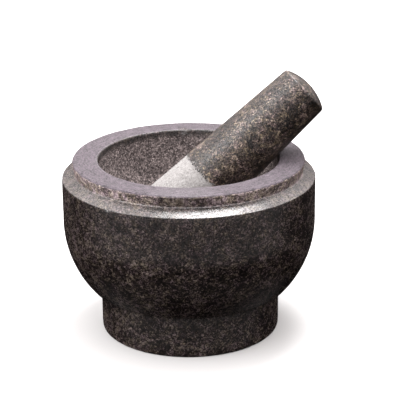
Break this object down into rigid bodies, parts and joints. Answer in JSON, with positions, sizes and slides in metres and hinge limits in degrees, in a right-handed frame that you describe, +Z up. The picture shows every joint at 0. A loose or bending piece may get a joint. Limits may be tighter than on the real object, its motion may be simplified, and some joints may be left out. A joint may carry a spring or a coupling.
{
  "type": "mortar and pestle",
  "caption": "Turned granite mortar on a round pedestal foot, with a stepped flat rim and a round-bottomed bowl, and a thick tapered granite pestle leaning in it.",
  "frame": {"origin": "centre of the foot's flat underside", "axes": "+Z up along the mortar's axis, +X towards the side of the rim that the pestle leans on, +Y towards the back"},
  "size_m": [0.1903, 0.185, 0.1909],
  "materials": {
    "mortar_granite": "polished",
    "pestle_granite": "polished"
  },
  "bodies": {
    "mortar": {"mortar": "mortar_granite"},
    "pestle": {"pestle": "pestle_granite"}
  },
  "joints": [
    {"name": "pestle_lift", "type": "slide", "parent": "mortar", "child": "pestle", "axis": [0.7065, 0.1268, 0.6962], "range_m": [0, 0.12]}
  ]
}
